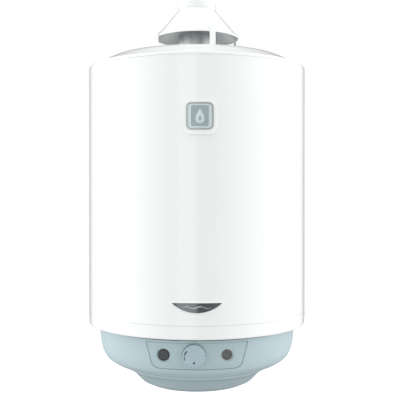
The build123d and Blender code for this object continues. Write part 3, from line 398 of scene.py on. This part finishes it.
# grip ribs moulded round the knob's side
RIBS = 60
RIB_SECTION = ((-0.45, 0.0), (-0.25, 0.42), (0.25, 0.42), (0.45, 0.0))  # across and out, in mm
RIB_ENDS = ((3.0, 0.35), (3.8, 1.0), (14.0, 1.0), (14.8, 0.35))  # mm behind the face, size there
KNOB_RADIUS = (knob_high.x - knob_low.x) / 2
rib_parts = []
for rib in range(RIBS):
    turn = 2 * math.pi * rib / RIBS
    out = Vector((math.cos(turn), 0, math.sin(turn)))
    across = Vector((-math.sin(turn), 0, math.cos(turn)))
    foot = Vector((KNOB.x, 0, KNOB.z)) + out * (KNOB_RADIUS - 0.25 * MM)
    loops = []
    for back, size in RIB_ENDS:
        loops.append([foot + across * (a * size * MM) + out * (b * size * MM)
                      + Vector((0, KNOB_FACE + back * MM, 0)) for a, b in RIB_SECTION])
    rib_parts.append(loft(loops))
piece("knob_grip_ribs", *join(*rib_parts), "knob_plastic", "knob_plastic", "control_knob")


# ---- springs behind the knob and the igniter button ----
SPRING_WIRE = 0.32 * MM  # radius of the wire
CLOSED_LAPS, CLOSED_CLIMB = 0.75, 0.06  # each end coil, and the share of the length it takes


def coil(node, mean_radius, wire, turns, front, back):
    """A closed-end compression spring along Y, between two planes."""
    centre = middle(node)
    steps = 26
    rise = back - front - 2 * wire
    laps = turns + 2 * CLOSED_LAPS
    path = []
    for step in range(int(laps * steps) + 1):
        lap = step / steps
        if lap < CLOSED_LAPS:
            climb = CLOSED_CLIMB * lap / CLOSED_LAPS
        elif lap > turns + CLOSED_LAPS:
            climb = 1 - CLOSED_CLIMB * (laps - lap) / CLOSED_LAPS
        else:
            climb = CLOSED_CLIMB + (1 - 2 * CLOSED_CLIMB) * (lap - CLOSED_LAPS) / turns
        turn = 2 * math.pi * lap
        path.append(Vector((centre.x + mean_radius * math.cos(turn), front + wire + rise * climb,
                            centre.z + mean_radius * math.sin(turn))))
    return tube(path, wire, 10)


for spring_node, spring_joint, spring_body, mean, turns in (
    ("knob_spring", "knob_push", "valve_spindle", 7.0 * MM, 1.6),
    ("igniter_spring", "igniter_push", "root", 6.5 * MM, 2.5),
):
    low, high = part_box(spring_node)
    spring = piece(spring_node + "_coil",
                   *coil(spring_node, mean, SPRING_WIRE, turns, low.y, high.y),
                   "steel", "steel", spring_body)
    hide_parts(spring_node)
    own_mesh(spring)

# ---- badge: a darker field on its plate, and a raised drop on the field ----
badge = middle("badge_plate")
FIELD_BASE = 3.6 * MM  # where the field and the drop start, above the casing
FIELD_LIFT = 0.30 * MM
FIELD_HALF_X, FIELD_HALF_Z, FIELD_CORNER = 13.9, 16.9, 3.8  # corner centres and radius, in mm
HEART_DROP = 3.6 * MM  # the small inner drop below the badge's middle


def drop_outline(width, height, steps=72):
    """A water drop with its point up, centred on its middle height."""
    outline = []
    for step in range(steps):
        turn = 2 * math.pi * step / steps
        swell = math.sin(turn / 2) ** 1.45
        outline.append((width / 2 * 1.08 * math.sin(turn) * swell, height / 2 * math.cos(turn)))
    return outline


def dense(outline, gap):
    """An outline with extra points along its long edges, so that it can follow a curve."""
    points = []
    for number, (ax, az) in enumerate(outline):
        bx, bz = outline[(number + 1) % len(outline)]
        parts = max(1, round(math.hypot(bx - ax, bz - az) / gap))
        points += [(ax + (bx - ax) * part / parts, az + (bz - az) * part / parts)
                   for part in range(parts)]
    return points


def pillow(outline, x, z, base, heights, look, name, slot):
    """A crowned shape on the casing's front. heights is a row of (size, lift) pairs."""
    loops = [[skin(x + px * size, z + pz * size, base + lift) for px, pz in outline]
             for size, lift in heights]
    return piece(name, *loft(loops), look, slot, crease=50)


field = []
for corner_x, corner_z, start in ((1, 1, 0), (-1, 1, 90), (-1, -1, 180), (1, -1, 270)):
    for step in range(9):
        turn = math.radians(start + 90 * step / 8)
        field.append(((FIELD_HALF_X * corner_x + FIELD_CORNER * math.cos(turn)) * MM,
                      (FIELD_HALF_Z * corner_z + FIELD_CORNER * math.sin(turn)) * MM))
field_levels = [(1.0, 0.0), (1.0, 0.22 * MM)]
field_levels += [(size, FIELD_LIFT) for size in (0.985, 0.85, 0.7, 0.55, 0.4, 0.25, 0.02)]
pillow(dense(field, 1.2 * MM), badge.x, badge.z, FIELD_BASE, field_levels,
       "badge_field", "badge_field", "badge_grey")
pillow(drop_outline(23 * MM, 30 * MM), badge.x, badge.z, FIELD_BASE,
       ((1.0, 0.0), (1.0, 0.35 * MM), (0.95, 0.6 * MM), (0.8, 0.9 * MM), (0.55, 1.1 * MM),
        (0.25, 1.2 * MM), (0.02, 1.22 * MM)), "badge_light", "badge_drop", "badge_light")
pillow(drop_outline(8 * MM, 11 * MM), badge.x, badge.z - HEART_DROP, FIELD_BASE + 0.6 * MM,
       ((1.0, 0.0), (1.0, 0.55 * MM), (0.9, 0.72 * MM), (0.5, 0.86 * MM), (0.05, 0.9 * MM)),
       "badge_grey", "badge_drop_heart", "badge_grey")

# ---- name plate: white surround and a plain wave line ----
plate_low, plate_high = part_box("name_plate")
plate_half = (plate_high.x - plate_low.x) / 2
plate_x = (plate_low.x + plate_high.x) / 2
plate_drop = plate_high.z - plate_low.z
arc_r = (plate_half ** 2 + plate_drop ** 2) / (2 * plate_drop)
arc_z = plate_high.z - plate_drop + arc_r


def plate_outline(grow, steps=44):
    """The name plate's outline, grown by a margin: straight on top, an arc below."""
    radius = arc_r + grow
    top = plate_high.z + grow
    reach = math.sqrt(radius ** 2 - (top - arc_z) ** 2)
    spread = math.atan2(reach, arc_z - top)
    lower = []
    for step in range(steps + 1):
        turn = spread - 2 * spread * step / steps
        lower.append((plate_x + radius * math.sin(turn), arc_z - radius * math.cos(turn)))
    upper = []
    for step in range(1, steps):
        upper.append((plate_x - reach + 2 * reach * step / steps, top))
    return lower + upper


surround = []
for grow, lift in ((2.9, -0.05), (2.7, 0.55), (1.9, 0.95), (1.0, 1.0), (0.45, 0.9), (0.12, 0.4),
                   (0.08, -0.05)):
    surround.append([skin(x, z, lift * MM) for x, z in plate_outline(grow * MM)])
surround.append(surround[0])
piece("name_plate_surround", *loft(surround, capped=False), "white_plastic", "white_plastic",
      crease=60)

WAVE_STEPS = 60
WAVE_LENGTH, WAVE_SWING, WAVE_HALF = 58 * MM, 1.9 * MM, 0.75 * MM
WAVE_DROP = 8.2 * MM  # the wave's middle line below the plate's top
wave = []
for level_lift, narrow in ((1.45, 1.0), (1.68, 1.0), (1.74, 0.7)):
    upper_edge, lower_edge = [], []
    for step in range(WAVE_STEPS + 1):
        part = step / WAVE_STEPS
        x = plate_x + (part - 0.5) * WAVE_LENGTH
        z = plate_high.z - WAVE_DROP + WAVE_SWING * math.sin(part * 4 * math.pi)
        thick = (0.25 + 0.75 * math.sin(part * math.pi)) * WAVE_HALF * narrow
        upper_edge.append(skin(x, z + thick, level_lift * MM))
        lower_edge.append(skin(x, z - thick, level_lift * MM))
    wave.append(upper_edge + lower_edge[::-1])
piece("name_plate_wave", *loft(wave), "silver_inlay", "badge_grey", crease=60)

# ---- casing: hem inside the hood's rim, and the jacket's folded seam at the rear ----
hood_low, hood_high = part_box("draught_hood")
HOOD_R = (hood_high.x - hood_low.x) / 2
HEM_R, HEM_INSET, HEM_RISE = 0.95 * MM, 1.9 * MM, 1.0 * MM
hem = [(HOOD_R - HEM_INSET + HEM_R * math.cos(turn), HEM_RISE + HEM_R * math.sin(turn))
       for turn in (2 * math.pi * step / 14 for step in range(14))]
piece("hood_rim_hem", *lathe(hem, (AXIS_X, AXIS_Y, hood_low.z), (0, 0, 1), 128, closed=True),
      "white_enamel", "white_enamel", crease=60)

# bare metal lining of the hood's cone, which is enamelled on the outside only
RIM_RISE, NECK_DROP, NECK_R = 3.0 * MM, 14.0 * MM, 42.2 * MM
cone = Vector((NECK_R - HOOD_R, 0, hood_high.z - NECK_DROP - hood_low.z - RIM_RISE)).normalized()
inward = Vector((-cone.z, 0, cone.x))
cone_foot = Vector((HOOD_R, 0, hood_low.z + RIM_RISE)) + cone * 1.2 * MM
cone_head = Vector((NECK_R, 0, hood_high.z - NECK_DROP)) - cone * 1.6 * MM
LINING_NEAR, LINING_FAR = 1.05 * MM, 1.30 * MM  # inside the cone's outer face
lining = [cone_foot + inward * LINING_NEAR, cone_head + inward * LINING_NEAR,
          cone_head + inward * LINING_FAR, cone_foot + inward * LINING_FAR]
piece("hood_lining", *lathe([(spot.x, spot.z) for spot in lining], (AXIS_X, AXIS_Y, 0),
                            (0, 0, 1), 128, closed=True), "aluminised", "aluminised", crease=60)

SEAM_TURN = math.radians(156)
seam_points = []
for width, lift in ((7.0, -0.1), (6.6, 0.45), (5.6, 0.7), (-5.6, 0.7), (-6.6, 0.45), (-7.0, -0.1)):
    turn = SEAM_TURN + width * MM / CASING_R
    reach = CASING_R + lift * MM
    seam_points.append((AXIS_X + reach * math.sin(turn), AXIS_Y - reach * math.cos(turn)))
seam_levels = [jacket_low.z + 1.0 * MM, jacket_low.z + 2.0 * MM,
               jacket_high.z - 2.0 * MM, jacket_high.z - 1.0 * MM]
piece("jacket_lock_seam", *loft([[Vector((x, y, z)) for x, y in seam_points]
                                 for z in seam_levels]), "white_enamel", "white_enamel")


# ---- screws with domed heads and cross recesses ----
def carve(target, cutter):
    """Cut one mesh out of another for good, and delete the cutter."""
    cut = target.modifiers.new("cut", "BOOLEAN")
    cut.operation, cut.solver, cut.object = "DIFFERENCE", "EXACT", cutter
    result = bpy.data.meshes.new_from_object(
        target.evaluated_get(bpy.context.evaluated_depsgraph_get()))
    target.modifiers.remove(cut)
    target.data = result
    bpy.data.objects.remove(cutter)


def cross_block(centre, direction, reach, width, depth):
    """A plus-shaped prism that narrows as it goes in."""
    along, side, other = basis(direction)
    ring = [(1, -1), (3, -1), (3, 1), (1, 1), (1, 3), (-1, 3), (-1, 1), (-3, 1), (-3, -1),
            (-1, -1), (-1, -3), (1, -3)]
    loops = []
    for height, size in ((0.6 * MM, 1.05), (-depth, 0.62)):
        loop = []
        for a, b in ring:
            a_reach = math.copysign(reach if abs(a) == 3 else width, a) * size
            b_reach = math.copysign(reach if abs(b) == 3 else width, b) * size
            loop.append(Vector(centre) + along * height + side * a_reach + other * b_reach)
        loops.append(loop)
    return loft(loops)


def screws(node, spots, radius, height, shank, length, slot, look):
    """Pan-head screws at (seat centre, outward direction) spots, in one object."""
    heads, crosses = [], []
    for centre, direction in spots:
        profile = [(0.05 * MM, -length), (shank * 0.5, -length), (shank, -length + shank * 0.6),
                   (shank, 0), (radius * 0.96, 0.0), (radius, height * 0.12),
                   (radius, height * 0.42), (radius * 0.94, height * 0.68),
                   (radius * 0.80, height * 0.86), (radius * 0.55, height * 0.97),
                   (radius * 0.25, height), (0.05 * MM, height)]
        heads.append(lathe(profile, centre, direction, 32))
        top = Vector(centre) + Vector(direction).normalized() * height
        crosses.append(cross_block(top, direction, radius * 0.55, radius * 0.13, height * 0.62))
    made = piece(node + "_recessed", *join(*heads), look, slot)
    cutter_points, cutter_faces = join(*crosses)
    cutter_mesh = bpy.data.meshes.new("cutter")
    cutter_mesh.from_pydata([tuple(point) for point in cutter_points], [], cutter_faces)
    work = bmesh.new()
    work.from_mesh(cutter_mesh)
    bmesh.ops.recalc_face_normals(work, faces=work.faces)
    work.to_mesh(cutter_mesh)
    work.free()
    cutter = bpy.data.objects.new("cutter", cutter_mesh)
    bpy.context.collection.objects.link(cutter)
    carve(made, cutter)
    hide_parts(node)
    return made


def bearing(angle, radius, z):
    """A point at an angle from the front round the heater's axis, and the way out from there."""
    turn = math.radians(angle)
    out = Vector((math.sin(turn), -math.cos(turn), 0))
    return Vector((AXIS_X, AXIS_Y, z)) + out * radius, out


HEAD_R, HEAD_HEIGHT, COVER_HEAD_HEIGHT = 4.0 * MM, 2.4 * MM, 2.2 * MM
LEG_ANGLES = (21, 111, 201, 291)
COVER_ANGLES = (-145, -105, 105, 145)
TRAY_ANGLES = range(90, 450, 60)
TRAY_BOLT_R = 129 * MM  # the tray's screws from the axis

leg_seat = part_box("leg_screws")[1].z - HEAD_HEIGHT
leg_spots = [(bearing(angle, HOOD_R + 9.5 * MM, leg_seat)[0], (0, 0, 1)) for angle in LEG_ANGLES]
screws("leg_screws", leg_spots, HEAD_R, HEAD_HEIGHT, 2.1 * MM, 9.9 * MM, "steel", "steel")

tab_z = middle("cover_screws").z
tab_reach = (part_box("control_cover")[1].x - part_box("control_cover")[0].x) / 2
screws("cover_screws", [bearing(angle, tab_reach + 0.1 * MM, tab_z) for angle in COVER_ANGLES],
       HEAD_R, COVER_HEAD_HEIGHT, 2.0 * MM, 9.0 * MM, "steel", "steel")

tray_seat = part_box("tray_screws")[0].z + HEAD_HEIGHT
tray_spots = [(bearing(angle, TRAY_BOLT_R, tray_seat)[0], (0, 0, -1)) for angle in TRAY_ANGLES]
screws("tray_screws", tray_spots, HEAD_R, HEAD_HEIGHT, 2.0 * MM, 7.0 * MM, "steel", "steel")


# ---- pipes with real threads ----
THREAD = 16 * MM  # length of each threaded end
THREAD_STEPS = 44  # points round a thread
NUT_LEVELS = ((0.90, 0.0), (1.0, 0.9), (1.0, 6.1), (0.90, 7.0))  # size, and millimetres up


def around(centre, radius, z, steps):
    """A level ring of points."""
    return [Vector((centre.x + radius * math.cos(2 * math.pi * step / steps),
                    centre.y + radius * math.sin(2 * math.pi * step / steps), z))
            for step in range(steps)]


def thread_reach(radius, pitch, height, turn):
    """How far a thread's surface is from its axis, with a tapered start and a run-out."""
    phase = (height / pitch - turn / (2 * math.pi)) % 1.0
    groove = max(0.0, 1 - abs(phase - 0.5) * 2.4)
    fade = min(1.0, height / (1.2 * MM)) * min(1.0, (THREAD - height) / (1.6 * MM))
    lead = max(0.0, 1 - height / (1.4 * MM)) * 0.9 * MM
    return radius - lead - pitch * 0.58 * groove * fade


def threaded_end(centre, end_z, radius, bore, pitch, across):
    """A chamfered hexagon above a threaded end that points down. Returns (points, faces) pairs."""
    rows = int(THREAD / pitch * 7)
    loops = [around(centre, bore, end_z, THREAD_STEPS)]
    for row in range(rows + 1):
        height = THREAD * row / rows
        loop = []
        for step in range(THREAD_STEPS):
            turn = 2 * math.pi * step / THREAD_STEPS
            reach = thread_reach(radius, pitch, height, turn)
            loop.append(Vector((centre.x + reach * math.cos(turn),
                                centre.y + reach * math.sin(turn), end_z + height)))
        loops.append(loop)
    loops.append(around(centre, bore, end_z + THREAD, THREAD_STEPS))
    loops.append(loops[0])
    corner = across / 2 / math.cos(math.pi / 6)
    nut = [around(centre, corner * size, end_z + THREAD + height * MM, 6)
           for size, height in NUT_LEVELS]
    return loft(loops, capped=False), loft(nut)


G_HALF = {"radius": 10.48 * MM, "bore": 7.5 * MM, "pitch": 1.814 * MM, "across": 26 * MM}
G_THREE_EIGHTHS = {"radius": 8.33 * MM, "bore": 6.0 * MM, "pitch": 1.337 * MM, "across": 20 * MM}
TUBE_R, TUBE_BEND = 9.5 * MM, 14 * MM


for pipe_node, ring_node in (("cold_inlet_pipe", "cold_marker_ring"),
                             ("hot_outlet_pipe", "hot_marker_ring")):
    low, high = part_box(pipe_node)
    line = middle(ring_node)
    top = high.z - TUBE_R
    route = [Vector((line.x, low.y + 0.2 * MM, top)), Vector((line.x, line.y - TUBE_BEND, top))]
    for step in range(1, 9):
        turn = math.pi / 2 * step / 8
        route.append(Vector((line.x, line.y - TUBE_BEND + TUBE_BEND * math.sin(turn),
                             top - TUBE_BEND + TUBE_BEND * math.cos(turn))))
    route.append(Vector((line.x, line.y, low.z + 22 * MM)))
    end_parts = threaded_end(line, low.z, **G_HALF)
    pipe = piece(pipe_node + "_threaded", *join(tube(route, TUBE_R, 32), *end_parts),
                 "steel", "steel")
    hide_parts(pipe_node)

gas_parts = threaded_end(middle("gas_nipple"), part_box("gas_nipple")[0].z, **G_THREE_EIGHTHS)
gas_end = piece("gas_nipple_threaded", *join(*gas_parts), "brass", "brass")
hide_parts("gas_nipple")

# ---- floor ----
FLOOR_Z = CAD_BOX[0].z - 0.26  # the heater hangs this far above it
floor_mesh = bpy.data.meshes.new("floor")
floor_points, floor_faces = lathe([(0.02, 0.0), (1.2, 0.0), (2.6, 0.0)],
                                  (0, AXIS_Y, FLOOR_Z), (0, 0, 1), 96)
floor_mesh.from_pydata([tuple(point) for point in floor_points], [], floor_faces[:-1])
floor = bpy.data.objects.new("floor", floor_mesh)
bpy.context.collection.objects.link(floor)
floor_look = finish("floor_paper", (0.90, 0.90, 0.90), 0.9, tone=0.004, tone_scale=2, swing=0.02)
floor_shader = floor_look.node_tree.nodes["Principled BSDF"]
floor_shader.inputs["Emission Color"].default_value = (1, 1, 1, 1)
floor_shader.inputs["Emission Strength"].default_value = 0.22
floor_mesh.materials.append(floor_look)
floor.visible_diffuse = floor.visible_glossy = False  # so the floor doesn't brighten the underside

# ---- light: a soft surround that the camera sees as plain white, and one strip ----
SIDES = (("X", 2.02, 2.02), ("Y", 0.385, 0.10), ("Z", 0.48, 1.20))  # axis, glow from its -/+ ends
STRIP_X, STRIP_Z, STRIP_AWAY = -0.45, -0.2, 2.6
STRIP_WIDTH, STRIP_HEIGHT, STRIP_POWER = 0.9, 2.2, 5.6

world = bpy.data.worlds.new("studio")
bpy.context.scene.world = world
world.use_nodes = True
nodes, links = world.node_tree.nodes, world.node_tree.links
nodes.clear()
direction = nodes.new("ShaderNodeTexCoord").outputs["Generated"]
split = nodes.new("ShaderNodeSeparateXYZ")
links.new(direction, split.inputs["Vector"])


def arithmetic(operation, first, second):
    """A math node whose inputs are node outputs or numbers."""
    step = nodes.new("ShaderNodeMath")
    step.operation = operation
    for number, value in enumerate((first, second)):
        if isinstance(value, float):
            step.inputs[number].default_value = value
        else:
            links.new(value, step.inputs[number])
    return step.outputs["Value"]


# soft light from six directions: left and right are the brightest, the wall the dimmest
glow = 0.0
for axis, below, above in SIDES:
    amount = split.outputs[axis]
    side = nodes.new("ShaderNodeMapRange")
    side.inputs["To Min"].default_value = below
    side.inputs["To Max"].default_value = above
    links.new(arithmetic("GREATER_THAN", amount, 0.0), side.inputs["Value"])
    share = arithmetic("MULTIPLY", arithmetic("MULTIPLY", amount, amount), side.outputs["Result"])
    glow = arithmetic("ADD", share, glow)
soft = nodes.new("ShaderNodeBackground")
soft.inputs["Color"].default_value = (1.0, 1.0, 1.0, 1)
links.new(glow, soft.inputs["Strength"])
seen = nodes.new("ShaderNodeBackground")
seen.inputs["Color"].default_value = (1, 1, 1, 1)
seen.inputs["Strength"].default_value = 1.0
choose = nodes.new("ShaderNodeMixShader")
links.new(nodes.new("ShaderNodeLightPath").outputs["Is Camera Ray"], choose.inputs["Fac"])
links.new(soft.outputs["Background"], choose.inputs[1])
links.new(seen.outputs["Background"], choose.inputs[2])
links.new(choose.outputs["Shader"], nodes.new("ShaderNodeOutputWorld").inputs["Surface"])


strip_light = bpy.data.lights.new("strip_left", "AREA")
strip_light.shape, strip_light.energy = "RECTANGLE", STRIP_POWER
strip_light.size, strip_light.size_y = STRIP_WIDTH, STRIP_HEIGHT
strip = bpy.data.objects.new("strip_left", strip_light)
bpy.context.collection.objects.link(strip)
strip.location = (STRIP_X, AXIS_Y - STRIP_AWAY, STRIP_Z)
strip.rotation_mode = "QUATERNION"
strip.rotation_quaternion = Vector((0, STRIP_AWAY, 0)).to_track_quat("-Z", "Y")
strip.visible_camera = False

# ---- camera: almost level, at about the heater's middle ----
CAMERA_AWAY, CAMERA_Z = 1.749, -0.200
CAMERA_DIP, CAMERA_TURN = 0.305, -0.23  # degrees down, and round the vertical
CAMERA_LENS, CAMERA_SENSOR = 67.7, 36.0

camera_data = bpy.data.cameras.new("camera")
camera_data.lens, camera_data.sensor_width = CAMERA_LENS, CAMERA_SENSOR
camera_data.clip_start, camera_data.clip_end = 0.05, 50.0
camera = bpy.data.objects.new("camera", camera_data)
bpy.context.collection.objects.link(camera)
camera.location = (0.0, AXIS_Y - CAMERA_AWAY, CAMERA_Z)
camera.rotation_euler = (math.radians(90 - CAMERA_DIP), 0.0, math.radians(CAMERA_TURN))
bpy.context.scene.camera = camera
bpy.context.scene.view_settings.view_transform = "Standard"
